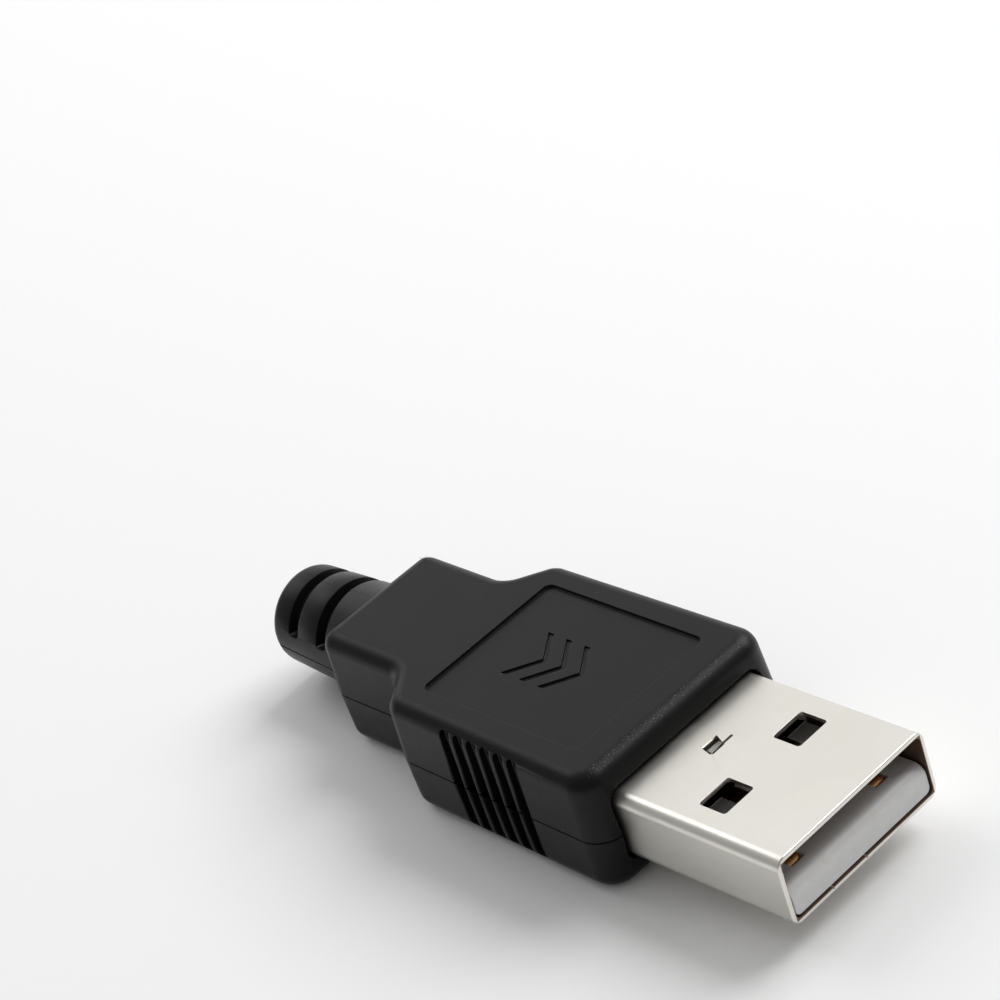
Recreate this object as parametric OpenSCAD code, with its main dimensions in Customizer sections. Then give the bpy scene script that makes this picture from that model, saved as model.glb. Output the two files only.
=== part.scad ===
// Cable plug: a folded metal shell with four contacts, held in a two-piece snap-together cover.
// Millimetres. The mouth of the shell faces +X, +Z is up, and the cover's flat underside is at Z = 0.
// Inside the modules, X is the distance behind the mouth and Z = 0 is the axis of the shell.

/* [Metal shell] */
// Outside width of the shell
shell_w = 12; // [11:0.1:13]
// Outside height of the shell
shell_h = 4.5; // [4.2:0.1:5]
// Thickness of the shell's sheet
sheet = 0.3; // [0.2:0.05:0.4]
// Outside radius of the shell's bends
bend_r = 0.7; // [0.5:0.05:1]
// Length of shell that stands out of the cover
shell_out = 11.75; // [11:0.25:14]
// Length of shell held inside the cover
shell_in = 7; // [5.5:0.25:8]
// Distance from the mouth to the latch holes
hole_x = 5.18; // [4.5:0.1:6]
// Length of a latch hole along the shell
hole_l = 1.95; // [1.5:0.05:2.5]
// Width of a latch hole
hole_w = 2.4; // [1.5:0.05:2.6]
// Distance of each latch hole from the middle of the shell
hole_y = 3.05; // [2.5:0.05:3.5]
// Corner radius of the latch holes
hole_r = 0.2; // [0.1:0.05:0.5]
// Width of the joint where the folded sheet meets underneath
joint_gap = 0.05; // [0.03:0.01:0.1]

/* [Lance that locks the insulator] */
// Distance from the mouth to the root of the lance
lance_x = 9.3; // [9.3:0.05:10]
// Length of the lance
lance_l = 0.9; // [0.7:0.05:1.2]
// Width of the lance
lance_w = 1.5; // [1:0.1:2.5]
// Depth that the lance dips inside the shell
lance_dip = 0.35; // [0.2:0.05:0.45]
// Slit left round the lance by the punch
lance_slit = 0.12; // [0.05:0.01:0.2]

/* [Cord crimp behind the shell] */
// Width of the strap between shell and crimp
strap_w = 3.2; // [2:0.1:4]
// Length of the strap
strap_l = 6.2; // [5:0.1:8]
// Length of the crimp barrel
crimp_l = 3; // [2:0.1:4]
// Outside width of the crimp barrel
crimp_w = 4.8; // [4:0.1:5.4]
// Height of the open crimp's wings above the axis
crimp_wing = 2; // [1:0.1:2.4]

/* [Insulator] */
// Distance from the mouth to the tongue's end
tongue_x = 0.2; // [0.1:0.05:0.8]
// Height of the tongue's top above the axis
tongue_z = 0; // [-0.2:0.05:0.2]
// Rounding of the tongue's front edge
tongue_r = 0.7; // [0.3:0.05:0.9]
// Gap between the tongue and the shell
tongue_gap = 0.1; // [0.05:0.01:0.2]
// Distance from the mouth to the insulator's block
block_x = 8.6; // [8.3:0.05:8.9]

/* [Contacts] */
// Width of a contact
contact_w = 1; // [0.8:0.05:1.2]
// Thickness of a contact
contact_t = 0.25; // [0.15:0.01:0.3]
// Distance of the inner contacts from the middle
inner_y = 1; // [0.9:0.05:1.2]
// Distance of the outer contacts from the middle
outer_y = 3.5; // [3.2:0.05:4]
// Distance from the mouth to the outer contacts' tips
outer_tip = 1.6; // [1.4:0.05:2.2]
// Distance from the mouth to the inner contacts' tips
inner_tip = 2.6; // [2.3:0.05:3.5]
// Length of the solder cups behind the block
cup_l = 2.6; // [1.5:0.1:3.5]

/* [Cover] */
// Thickness of the cover
cover_h = 7.9; // [7.6:0.1:9]
// Width of the cover at its front
front_w = 15.5; // [15:0.1:16]
// Width of the cover at its shoulders
shoulder_w = 14.85; // [14.4:0.05:15.6]
// Width of the cover's neck
neck_w = 9.7; // [9.4:0.1:10.6]
// Length from the cover's front to its shoulders
shoulder_x = 17; // [16:0.25:19]
// Length of the slope from the shoulders to the neck
slope_l = 2; // [1.5:0.1:3]
// Whole length of the cover without its strain relief
cover_l = 26.2; // [25.4:0.1:30]
// Rounding of the cover's upper and lower edges
edge_r = 1; // [0.5:0.05:1.3]
// Slope of the sides away from the split, in degrees
side_draft = 2; // [0:0.5:4]
// Slope of the front face away from the split, in degrees
front_draft = 6; // [0:0.5:8]
// Rounding of the front corners, seen from above
corner_r = 1.85; // [1.2:0.1:2.4]
// Rounding of the shoulders, seen from above
shoulder_r = 1.4; // [1.2:0.1:2]
// Rounding of the inner bend where the slope meets the neck
root_r = 1.4; // [0.8:0.1:2]
// Rounding of the neck's rear corners, seen from above
rear_r = 0.9; // [0.6:0.1:1.6]
// Wall thickness of the cover
wall = 1.2; // [1:0.05:1.3]
// Height of the split between the halves, measured from the axis
split_z = -0.25; // [-0.8:0.05:0.4]

/* [Grips] */
// Number of grip grooves on each side
grip_n = 6; // [3:1:8]
// Distance from the cover's front to the middle of the first groove
grip_x = 6.4; // [5:0.1:7]
// Spacing of the grip grooves
grip_pitch = 1.13; // [1:0.01:1.2]
// Width of a grip groove
grip_w = 0.68; // [0.4:0.02:0.8]
// Depth of a grip groove
grip_depth = 0.55; // [0.3:0.05:0.7]
// Height of a grip groove
grip_h = 6; // [4:0.1:6.6]

/* [Thumb panel] */
// Length of the sunk panel on top
panel_l = 12.5; // [8:0.1:13]
// Width of the sunk panel
panel_w = 10.7; // [8:0.1:12]
// Depth of the sunk panel
panel_depth = 0.2; // [0.1:0.05:0.4]
// Corner radius of the sunk panel
panel_r = 0.7; // [0.3:0.1:2]
// Distance from the cover's front to the sunk panel
panel_x = 3.25; // [2.5:0.05:4]

/* [Strain relief] */
// Length of the strain relief
relief_l = 7.65; // [6.5:0.05:9]
// Diameter of the strain relief at the cover
relief_d = 7.05; // [6.6:0.05:7.4]
// Diameter of the strain relief at its end
relief_end_d = 6.2; // [6:0.05:6.8]
// Rounding of the strain relief's end
relief_r = 0.8; // [0.4:0.05:0.8]
// Number of slots along the strain relief
slot_n = 2; // [1:1:2]
// Distance from the cover to the first slot
slot_x = 1.95; // [1.5:0.05:2.2]
// Spacing of the slots
slot_pitch = 2.75; // [2.2:0.05:2.9]
// Width of a slot
slot_w = 0.9; // [0.6:0.05:1.1]
// Depth of the slots at the cover's end
slot_depth = 0.95; // [0.5:0.05:1]
// Half angle of the solid spine along each side
spine_angle = 16; // [10:1:25]
// Diameter of the cord's bore
bore_d = 4; // [3.6:0.1:4.2]
// Depth of the flare at the bore's mouth
flare = 0.2; // [0.1:0.05:0.2]

/* [Fits] */
// Clearance round the shell in the cover
fit_gap = 0.05; // [0.02:0.01:0.1]
// Gap seen round the shell at the cover's front
front_gap = 0.25; // [0.15:0.01:0.35]
// Depth of that wider gap
front_gap_l = 1; // [0.5:0.1:2]
// Diameter of the snap pegs
peg_d = 1.4; // [1:0.1:1.6]
// Length of the snap pegs
peg_l = 1.6; // [1:0.1:2]
// Clearance round the snap pegs
peg_gap = 0.05; // [0.02:0.01:0.1]
// Thickness of the stops, and of the ribs that bite the cord
rib_t = 1; // [0.6:0.1:1.2]
// How far the ribs bite into the cord
bite = 0.25; // [0.1:0.05:0.4]
// Side of the shell's locking windows
window = 1.6; // [1.2:0.1:1.8]

/* [Hidden] */
$fn = 32;
eps = 0.01;
cut = 1;
edge_steps = 8;
least_r = 0.05;

total_l = shell_out + cover_l + relief_l;
shell_l = shell_out + shell_in;
inner_w = shell_w - 2 * sheet;
inner_h = shell_h - 2 * sheet;
inner_r = bend_r - sheet;

cover_end = shell_out + cover_l;
slope_angle = atan2((shoulder_w - neck_w) / 2, slope_l);
bore_r = bore_d / 2;
stop_x = shell_l + fit_gap;
boss_wall = 0.45;
boss_gap = 0.1;
boss_r = peg_d / 2 + boss_wall;
post_w = 0.9;
lance_room = 0.1;
crimp_bend = 1.2;
contact_dip = 0.3;
contact_nose = 0.5;

// Dovetail in the sheet's joint: its width at the root, its width at the end and its length.
tooth_base = 2;
tooth_top = 3.2;
tooth_l = 1.5;

// Snap pegs as [x, y]: one pair before the shoulders, one pair in the neck beside the cord.
neck_mid = shell_out + (shoulder_x + slope_l + cover_l) / 2;
pegs = [[shell_out + shoulder_x - 2 * boss_r, shoulder_w / 2 - wall - boss_r],
        [neck_mid, bore_r + boss_gap + boss_r]];

function unit(v) = v / norm(v);

// Closed outline through corners [x, y, r], each rounded by its own radius r in n steps.
function rounded(corners, n = 8) = [
    for (i = [0 : len(corners) - 1])
        let (before = corners[(i + len(corners) - 1) % len(corners)],
             here = corners[i],
             after = corners[(i + 1) % len(corners)],
             u = unit([before.x - here.x, before.y - here.y]),
             v = unit([after.x - here.x, after.y - here.y]),
             half = acos(u * v) / 2,
             inward = unit(u + v),
             centre = [here.x, here.y] + inward * here.z / sin(half),
             middle = atan2(-inward.y, -inward.x),
             turn = sign(cross(-u, v)) * (90 - half))
        for (k = here.z > 0 ? [0 : n] : [n / 2])
            let (a = middle + turn * (2 * k / n - 1))
            centre + here.z * [cos(a), sin(a)]
];

// Half width of the cover at a distance x behind the mouth, along its tapered sides.
function half_width(x) = (front_w + (shoulder_w - front_w) * (x - shell_out) / shoulder_x) / 2;

// Corners of the cover seen from above, moved inwards by an even inset, with one of its own at the front.
function cover_corners(inset, front_inset) =
    let (shift = inset * tan(slope_angle / 2),
         slope_x = shell_out + shoulder_x - shift,
         side = [[shell_out + front_inset, front_w / 2 - inset, max(corner_r - inset, least_r)],
                 [slope_x, shoulder_w / 2 - inset, max(shoulder_r - inset, least_r)],
                 [slope_x + slope_l, neck_w / 2 - inset, root_r + inset],
                 [cover_end - inset, neck_w / 2 - inset, max(rear_r - inset, least_r)]])
    concat([for (c = side) [c.x, -c.y, c.z]], [for (i = [3 : -1 : 0]) side[i]]);

module place() translate([total_l / 2, 0, cover_h / 2]) mirror([1, 0, 0]) children();

// Flat shape standing across the plug, drawn out along X.
module along(x, l) translate([x, 0, 0]) rotate([90, 0, 90]) linear_extrude(l) children();

// Flat shape seen from the side, drawn out across the plug to a width w.
module across(w) translate([0, w / 2, 0]) rotate([90, 0, 0]) linear_extrude(w) children();

module round_rect(w, h, r) {
    square([w - 2 * r, h], center = true);
    square([w, h - 2 * r], center = true);
    for (sx = [-1, 1], sy = [-1, 1])
        translate([sx * (w / 2 - r), sy * (h / 2 - r)]) circle(r);
}

module box(x, l, y, w, z, h) translate([x, y - w / 2, z]) cube([l, w, h]);

// ---- Metal shell ----

module shell_tube() along(0, shell_l) difference() {
    round_rect(shell_w, shell_h, bend_r);
    round_rect(inner_w, inner_h, inner_r);
}

module latch_holes() for (s = [-1, 1])
    translate([hole_x + hole_l / 2, s * hole_y, -shell_h])
        linear_extrude(2 * shell_h) round_rect(hole_l, hole_w, hole_r);

module lance_opening()
    box(lance_x, lance_l + 2 * lance_slit, 0, lance_w + 2 * lance_slit, shell_h / 2 - sheet - eps, sheet + 2 * eps);

module lance() translate([lance_x, 0, shell_h / 2]) across(lance_w)
    polygon([[-sheet, 0], [0, 0], [lance_l, -lance_dip], [lance_l, -lance_dip - sheet], [0, -sheet],
             [-sheet, -sheet]]);

module locking_windows()
    box(shell_l - 2 * window, window, 0, 2 * shell_w, split_z - window / 2, window);

module dovetail(grow, base) {
    polygon([[-tooth_base / 2 - grow, base], [tooth_base / 2 + grow, base], [tooth_base / 2 + grow, 0],
             [tooth_top / 2 + grow, tooth_l + grow], [-tooth_top / 2 - grow, tooth_l + grow],
             [-tooth_base / 2 - grow, 0]]);
}

// Butt joint of the folded sheet, with a dovetail that stops it from opening.
module sheet_joint() translate([shell_out / 2, 0, -shell_h / 2 - eps]) linear_extrude(sheet + 2 * eps)
    difference() {
        union() {
            translate([-shell_l, -joint_gap / 2]) square([2 * shell_l, joint_gap]);
            dovetail(joint_gap, -joint_gap / 2);
        }
        dovetail(0, -joint_gap);
    }

module crimp_profile() difference() {
    union() {
        round_rect(crimp_w, shell_h, crimp_bend);
        translate([-crimp_w / 2, 0]) square([crimp_w, crimp_wing]);
    }
    round_rect(crimp_w - 2 * sheet, inner_h, crimp_bend - sheet);
    translate([sheet - crimp_w / 2, 0]) square([crimp_w - 2 * sheet, shell_h]);
    translate([-crimp_w, crimp_wing]) square([2 * crimp_w, shell_h]);
}

module metal_shell() color("#c9c7c1") place() {
    difference() {
        shell_tube();
        latch_holes();
        lance_opening();
        locking_windows();
        sheet_joint();
    }
    lance();
    box(shell_l - eps, strap_l + 2 * eps, 0, strap_w, -shell_h / 2, sheet);
    along(shell_l + strap_l, crimp_l) crimp_profile();
}

// ---- Insulator and contacts ----

module tongue() intersection() {
    across(inner_w) polygon(rounded([[tongue_x, -inner_h, 0], [block_x + eps, -inner_h, 0],
                                     [block_x + eps, tongue_z, 0], [tongue_x, tongue_z, tongue_r]]));
    along(0, shell_l) round_rect(inner_w - 2 * tongue_gap, inner_h - 2 * tongue_gap, inner_r);
}

module contact_slot(y, tip) {
    box(tip - contact_dip, shell_l, y, contact_w, tongue_z - contact_t, contact_t);
    box(tip - contact_dip, 2 * contact_dip + contact_nose, y, contact_w,
        tongue_z - contact_t - contact_dip, contact_t + contact_dip + eps);
    box(tip - contact_dip, block_x - tip + contact_dip, y, contact_w, tongue_z - contact_t, inner_h / 2);
}

module insulator() color("#d6d5d0") place() difference() {
    union() {
        along(block_x, shell_l - block_x) round_rect(inner_w, inner_h, inner_r);
        tongue();
    }
    for (s = [-1, 1]) {
        contact_slot(s * inner_y, inner_tip);
        contact_slot(s * outer_y, outer_tip);
    }
    box(lance_x - lance_room, lance_l + 4 * lance_room, 0, lance_w + 4 * lance_room,
        inner_h / 2 - lance_dip - lance_room, shell_h);
}

// Strip that dips at its tip and ends behind the block in a half-round solder cup.
module contact(y, tip) color("#c08a4a") place() translate([0, y, tongue_z]) {
    across(contact_w)
        polygon([[tip, -contact_dip], [tip + contact_nose, 0], [shell_l + contact_w, 0],
                 [shell_l + contact_w, -contact_t], [tip + contact_nose, -contact_t],
                 [tip, -contact_dip - contact_t]]);
    along(shell_l + contact_w / 2, cup_l) difference() {
        circle(d = contact_w);
        circle(d = contact_w - contact_t);
        translate([-contact_w, 0]) square(2 * contact_w);
    }
}

module power_contact() contact(-outer_y, outer_tip);
module data_minus_contact() contact(-inner_y, inner_tip);
module data_plus_contact() contact(inner_y, inner_tip);
module ground_contact() contact(outer_y, outer_tip);

// ---- Cover ----

// Solid through a stack of outlines that have the same number of points, lowest first.
module loft(rings) {
    n = len(rings[0]);
    top = (len(rings) - 1) * n;
    polyhedron([for (ring = rings) each ring],
               concat([[for (i = [0 : n - 1]) i], [for (i = [n - 1 : -1 : 0]) top + i]],
                      [for (k = [0 : n : top - n], i = [0 : n - 1])
                          [k + i, k + n + i, k + n + (i + 1) % n, k + (i + 1) % n]]));
}

// Inset at a height z of a wall that slopes away from the split and is rounded at its edge.
function wall_inset(z, draft) =
    let (rise = max(abs(z) - cover_h / 2 - eps + edge_r, 0))
    abs(z - split_z) * tan(draft) + edge_r - sqrt(max(edge_r * edge_r - rise * rise, 0));

// Heights of the cover's outlines: the split, and closer together round the upper and lower edges,
// which end just past the flat faces so that those are cut as one plane each.
function edge_heights() = [
    for (side = [-1, 0, 1], k = side == 0 ? [0] : [0 : edge_steps])
        let (a = 90 * (side < 0 ? k : edge_steps - k) / edge_steps)
        side == 0 ? split_z : side * (cover_h / 2 + eps - edge_r * (1 - cos(a)))
];

module cover_body() intersection() {
    loft([
        for (z = edge_heights())
            [for (p = rounded(cover_corners(wall_inset(z, side_draft), wall_inset(z, front_draft))))
                [p.x, p.y, z]]
    ]);
    box(shell_out - cut, cover_l + 2 * cut, 0, front_w + 2 * cut, -cover_h / 2, cover_h);
}

module turned(x) translate([x, 0, 0]) rotate([0, 90, 0]) children();

module relief_body() turned(cover_end) rotate_extrude($fn = 64)
    polygon(rounded([[0, -wall, 0], [relief_d / 2, -wall, 0], [relief_d / 2, 0, 0],
                     [relief_end_d / 2, relief_l, relief_r], [0, relief_l, 0]]));

// One slot round the top or, turned over, round the bottom of the strain relief.
module relief_slot(x, above) {
    sweep = 180 - 2 * spine_angle;
    floor_r = relief_d / 2 - slot_depth;
    turned(cover_end + x) rotate([0, 0, above ? 0 : 180]) {
        rotate([0, 0, 180 - sweep / 2]) rotate_extrude(angle = sweep, $fn = 64)
            translate([floor_r, 0]) square([relief_d, slot_w]);
        for (s = [-1, 1]) rotate([0, 0, 180 + s * sweep / 2])
            translate([floor_r, 0, slot_w / 2]) rotate([0, 90, 0]) cylinder(d = slot_w, h = relief_d);
    }
}

module cord_bore() {
    turned(cover_end - wall - eps) cylinder(r = bore_r, h = relief_l + wall + cut, $fn = 64);
    turned(total_l - flare) cylinder(r1 = bore_r, r2 = bore_r + 2 * flare, h = 2 * flare, $fn = 64);
}

module grip_groove(x) translate([x, half_width(x) - grip_depth, 0]) rotate([-90, 0, 0])
    linear_extrude(2 * grip_depth) {
        square([grip_w, grip_h - grip_w], center = true);
        for (s = [-1, 1]) translate([0, s * (grip_h - grip_w) / 2]) circle(d = grip_w);
    }

module grips() for (i = [0 : grip_n - 1], m = [0, 1])
    mirror([0, m, 0]) grip_groove(shell_out + grip_x + i * grip_pitch);

module thumb_panel()
    translate([shell_out + panel_x + panel_l / 2, 0, cover_h / 2 - panel_depth])
        linear_extrude(cover_h) round_rect(panel_l, panel_w, panel_r);

module shell_pocket() {
    along(shell_out - cut, shell_in + fit_gap + cut)
        round_rect(shell_w + 2 * fit_gap, shell_h + 2 * fit_gap, bend_r + fit_gap);
    along(shell_out - cut, front_gap_l + cut)
        round_rect(shell_w + 2 * front_gap, shell_h + 2 * front_gap, bend_r + front_gap);
}

// Room for the wires, from the shell's stops to the neck's end wall.
module wire_room() intersection() {
    translate([0, 0, wall - cover_h / 2]) linear_extrude(cover_h - 2 * wall)
        polygon(rounded(cover_corners(wall, wall)));
    box(stop_x, cover_l, 0, front_w, -cover_h / 2, cover_h);
}

// Posts behind the shell, lugs in its side windows, bosses for the pegs and ribs that bite the cord.
module inner_ribs() {
    rib_h = cover_h - wall;
    for (s = [-1, 1]) {
        box(stop_x, rib_t, s * (shell_w - post_w) / 2, post_w + wall, -rib_h / 2, rib_h);
        box(shell_l - 2 * window + fit_gap, window - 2 * fit_gap, s * (shell_w / 2 + wall / 2 - sheet + fit_gap),
            wall, split_z - window / 2 + fit_gap, window - 2 * fit_gap);
        for (p = pegs) translate([p.x, s * p.y, -rib_h / 2]) cylinder(r = boss_r, h = rib_h);
    }
    for (s = [-1, 1]) difference() {
        box(neck_mid + s * (boss_r + rib_t) - rib_t / 2, rib_t, 0, neck_w - wall, -rib_h / 2, rib_h);
        turned(neck_mid - 4 * rib_t) cylinder(r = bore_r - bite, h = 8 * rib_t);
    }
}

module cover_pair() difference() {
    union() {
        difference() {
            union() {
                cover_body();
                relief_body();
            }
            shell_pocket();
            wire_room();
        }
        inner_ribs();
    }
    cord_bore();
    for (i = [0 : slot_n - 1], above = [false, true]) relief_slot(slot_x + i * slot_pitch, above);
    grips();
    thumb_panel();
}

module peg_places() for (p = pegs, s = [-1, 1]) translate([p.x, s * p.y, split_z]) children();

module upper_cover() color("#2b2b2d") place() {
    intersection() {
        cover_pair();
        box(0, total_l + cut, 0, 2 * front_w, split_z, cover_h);
    }
    peg_places() translate([0, 0, -peg_l]) cylinder(d = peg_d, h = peg_l + eps);
}

module lower_cover() color("#2b2b2d") place() difference() {
    intersection() {
        cover_pair();
        box(0, total_l + cut, 0, 2 * front_w, split_z - cover_h, cover_h);
    }
    peg_places() translate([0, 0, -peg_l - 4 * peg_gap]) cylinder(d = peg_d + 2 * peg_gap, h = peg_l + cut);
}

upper_cover();
lower_cover();
metal_shell();
insulator();
power_contact();
data_minus_contact();
data_plus_contact();
ground_contact();
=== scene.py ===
import contextlib
import math

import bmesh
import bpy
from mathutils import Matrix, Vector


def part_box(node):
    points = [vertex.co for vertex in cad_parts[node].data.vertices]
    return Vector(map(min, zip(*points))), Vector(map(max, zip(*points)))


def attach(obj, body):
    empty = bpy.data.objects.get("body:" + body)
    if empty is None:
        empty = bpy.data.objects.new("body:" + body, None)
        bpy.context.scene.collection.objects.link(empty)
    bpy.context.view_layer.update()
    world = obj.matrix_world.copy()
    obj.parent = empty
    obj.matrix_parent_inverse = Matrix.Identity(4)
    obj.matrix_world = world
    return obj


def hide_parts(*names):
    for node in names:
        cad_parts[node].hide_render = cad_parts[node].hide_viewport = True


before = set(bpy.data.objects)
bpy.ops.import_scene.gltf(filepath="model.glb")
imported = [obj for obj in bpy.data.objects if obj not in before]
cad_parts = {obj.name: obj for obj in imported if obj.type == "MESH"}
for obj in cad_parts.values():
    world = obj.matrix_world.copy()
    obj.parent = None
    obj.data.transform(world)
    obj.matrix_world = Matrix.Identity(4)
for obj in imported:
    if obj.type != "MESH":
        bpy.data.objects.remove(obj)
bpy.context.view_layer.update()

# Everything is modelled in millimetres and brought to metres when a piece is finished.
MM = 0.001
TINY = 0.001


def corners(node):
    """Lowest and highest corner of a CAD node, in millimetres."""
    low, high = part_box(node)
    return low / MM, high / MM


SHELL_HIGH = corners("metal_shell")[1]
UPPER_LOW, UPPER_HIGH = corners("upper_cover")
LOWER_LOW, LOWER_HIGH = corners("lower_cover")
BLOCK_LOW = corners("insulator")[0]

MOUTH = SHELL_HIGH.x
FRONT = UPPER_HIGH.x
END = UPPER_LOW.x
TOP = UPPER_HIGH.z
BASE = LOWER_LOW.z
SPLIT = LOWER_HIGH.z
AXIS = (TOP + BASE) / 2

# Cover
FRONT_W, SHOULDER_W, NECK_W = 15.5, 14.85, 9.7
SHOULDER_X, SLOPE_L, COVER_L = 17, 2, 26.2
CORNER_R, SHOULDER_R, ROOT_R, REAR_R = 1.85, 1.4, 1.4, 1.15
EDGE_R = 1
SIDE_DRAFT, FRONT_DRAFT = math.radians(2), math.radians(6)
WALL = 1.2
SEAM_GAP = 0.07
COVER_END = FRONT - COVER_L

# Grip grooves
GRIP_N, GRIP_X, GRIP_PITCH, GRIP_H, GRIP_W = 6, 6.4, 1.13, 7.1, 0.8
GRIP_STEPS = ((0.6, 0.24), (0.58, 0.33), (0.52, 0.38), (0.2, 0.4), (0.12, 0.41), (0.06, 0.435),
              (0.02, 0.475), (-0.02, 0.525), (-0.4, 0.55))

# Thumb panel
PANEL_X, PANEL_L, PANEL_W, PANEL_DEPTH, PANEL_R = 3.1, 12.65, 10.7, 0.2, 0.5
CHEVRON_N, CHEVRON_X, CHEVRON_PITCH, CHEVRON_W, CHEVRON_REACH, CHEVRON_DEPTH = 3, 1.6, 1.5, 0.45, 2, 0.15
CHEVRON_SWEEP = 0.75

# Strain relief
RELIEF_L, RELIEF_D, RELIEF_END_D, RELIEF_R = 7.65, 7.05, 6.2, 0.78
SLOT_X, SLOT_PITCH, SLOT_N, SLOT_W, SLOT_DEPTH = 1.95, 2.75, 2, 0.9, 0.95
# Solid spine beside the slots, as an angle from the side, in the upper and the lower half
SPINE_ANGLE, LOWER_SPINE_ANGLE = math.radians(16), math.radians(46)
BORE_R = 2

# Metal shell
SHELL_W, SHELL_H, SHEET, BEND_R = 12, 4.5, 0.3, 0.7
TUBE_L, TUBE_OUT = 18.75, 11.75
HOLE_X, HOLE_L, HOLE_W, HOLE_Y, HOLE_R = 5.18, 1.95, 2.4, 3.05, 0.2
# Opening round the lance, as distances behind the mouth and across, and the slit beside its root
LANCE_HOLE = ((9.31, 0.21), (9.36, -0.85), (10.15, -0.66), (10.15, 0.58))
LANCE_TAB = ((9.2, 0.16), (9.2, -0.78), (9.95, -0.56), (9.92, 0.4))
LANCE_SLIT = (9.28, 0.16, 0.15, 1.0)
LANCE_DIP = 0.2
LANCE_ROOM_L, LANCE_ROOM_Y, LANCE_ROOM_Z = 1.2, (-1.15, 1.25), 0.8
WINDOW, WINDOW_REACH = 1.6, 8
JOINT_GAP, JOINT_START, TOOTH_TOP, TOOTH_BASE, TOOTH_L = 0.05, 0.25, 3.2, 2, 1.5
NOTCH_W, NOTCH_L, NOTCH_SKIN, NOTCH_PLACES = 0.12, 0.3, 0.14, (-2.74, 0)
RIM_R = 0.1
STRAP_W, STRAP_L = 3.2, 6.3
CRIMP_X = 6.2
CRIMP_W, CRIMP_L, CRIMP_R, CRIMP_WING = 4.8, 3, 1.2, 2

# Insulator and contacts
BLOCK_X, TONGUE_X, TONGUE_R, TONGUE_GAP = 8.6, 0.1, 0.7, 0.1
CONTACT_W, CONTACT_T = 1, 0.25
CHANNEL_FIT = 0.02
OUTER_Y, INNER_Y, OUTER_TIP, INNER_TIP = 3.5, 1, 1.6, 2.6


# ---- Modelling helpers ----

def only(obj):
    """Selects one object alone."""
    bpy.ops.object.select_all(action="DESELECT")
    obj.select_set(True)
    bpy.context.view_layer.objects.active = obj


@contextlib.contextmanager
def shaping(obj):
    """Edit mode on one object."""
    only(obj)
    bpy.ops.object.mode_set(mode="EDIT")
    yield
    bpy.ops.object.mode_set(mode="OBJECT")


def pick(kind, test):
    """Selects the points, edges or faces that pass a test on their place."""
    bpy.ops.mesh.select_mode(type=kind)
    bpy.ops.mesh.select_all(action="DESELECT")
    mesh = bpy.context.object.data
    form = bmesh.from_edit_mesh(mesh)
    for item in {"VERT": form.verts, "EDGE": form.edges, "FACE": form.faces}[kind]:
        if test(item):
            item.select_set(True)
    form.select_flush_mode()
    bmesh.update_edit_mesh(mesh)


def points(test):
    pick("VERT", lambda v: test(v.co))


def edges(test):
    pick("EDGE", lambda e: test(e.verts[0].co, e.verts[1].co))


def faces(test):
    pick("FACE", lambda f: test(f.calc_center_median(), f.normal))


def move(step):
    bpy.ops.transform.translate(value=step)


def resize(scale, about=(0, 0, 0)):
    bpy.ops.transform.resize(value=scale, center_override=about)


def extrude(step):
    bpy.ops.mesh.extrude_region_move(TRANSFORM_OT_translate={"value": step})


def bevel_edges(width, steps=6):
    bpy.ops.mesh.bevel(offset=width, offset_type="OFFSET", segments=steps, profile=0.5,
                       affect="EDGES", clamp_overlap=False)


def bevel_points(width, steps=8):
    bpy.ops.mesh.bevel(offset=width, offset_type="OFFSET", segments=steps, profile=0.5,
                       affect="VERTICES", clamp_overlap=False)


def baked(name, scale=(1, 1, 1)):
    """Names the new primitive and puts its place, turn and size in its mesh."""
    obj = bpy.context.object
    obj.name = name
    obj.scale = scale
    only(obj)
    bpy.ops.object.transform_apply(location=True, rotation=True, scale=True)
    return obj


def slab(name, low, high):
    """Block between two corners, ready to be shaped."""
    bpy.ops.object.select_all(action="DESELECT")
    bpy.ops.mesh.primitive_cube_add(size=1, location=[(a + b) / 2 for a, b in zip(low, high)])
    return baked(name, [b - a for a, b in zip(low, high)])


def apply_modifier(obj, kind, **settings):
    only(obj)
    change = obj.modifiers.new(kind.lower(), kind)
    for key, value in settings.items():
        setattr(change, key, value)
    bpy.ops.object.modifier_apply(modifier=change.name)


def combine(obj, other, how):
    """Cuts another solid out of obj, joins it on or keeps what both share, and removes it."""
    apply_modifier(obj, "BOOLEAN", operation=how, object=other, solver="EXACT")
    bpy.data.objects.remove(other)
    return obj


def joined(name, parts):
    bpy.ops.object.select_all(action="DESELECT")
    for part in parts:
        part.select_set(True)
    bpy.context.view_layer.objects.active = parts[0]
    if len(parts) > 1:
        bpy.ops.object.join()
    parts[0].name = name
    return parts[0]


def copied(obj, step=(0, 0, 0)):
    """Copy with a mesh of its own, moved by a step."""
    only(obj)
    bpy.ops.object.duplicate(linked=False)
    twin = bpy.context.object
    with shaping(twin):
        bpy.ops.mesh.select_all(action="SELECT")
        move(step)
    return twin


def outward(obj):
    with shaping(obj):
        bpy.ops.mesh.select_all(action="SELECT")
        bpy.ops.mesh.normals_make_consistent(inside=False)


def flipped(obj, axis, about):
    """Turns a shape over in one axis and points its faces outwards again."""
    with shaping(obj):
        bpy.ops.mesh.select_all(action="SELECT")
        resize([-1 if i == axis else 1 for i in range(3)], about)
        bpy.ops.mesh.normals_make_consistent(inside=False)
    return obj


def soften(obj, width, steps=2, angle=45):
    """Small rounding on every sharp edge; flat faces are kept flat in the shading later, by finished()."""
    apply_modifier(obj, "BEVEL", width=width, segments=steps, limit_method="ANGLE",
                   angle_limit=math.radians(angle), use_clamp_overlap=False, miter_outer="MITER_ARC")


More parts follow.
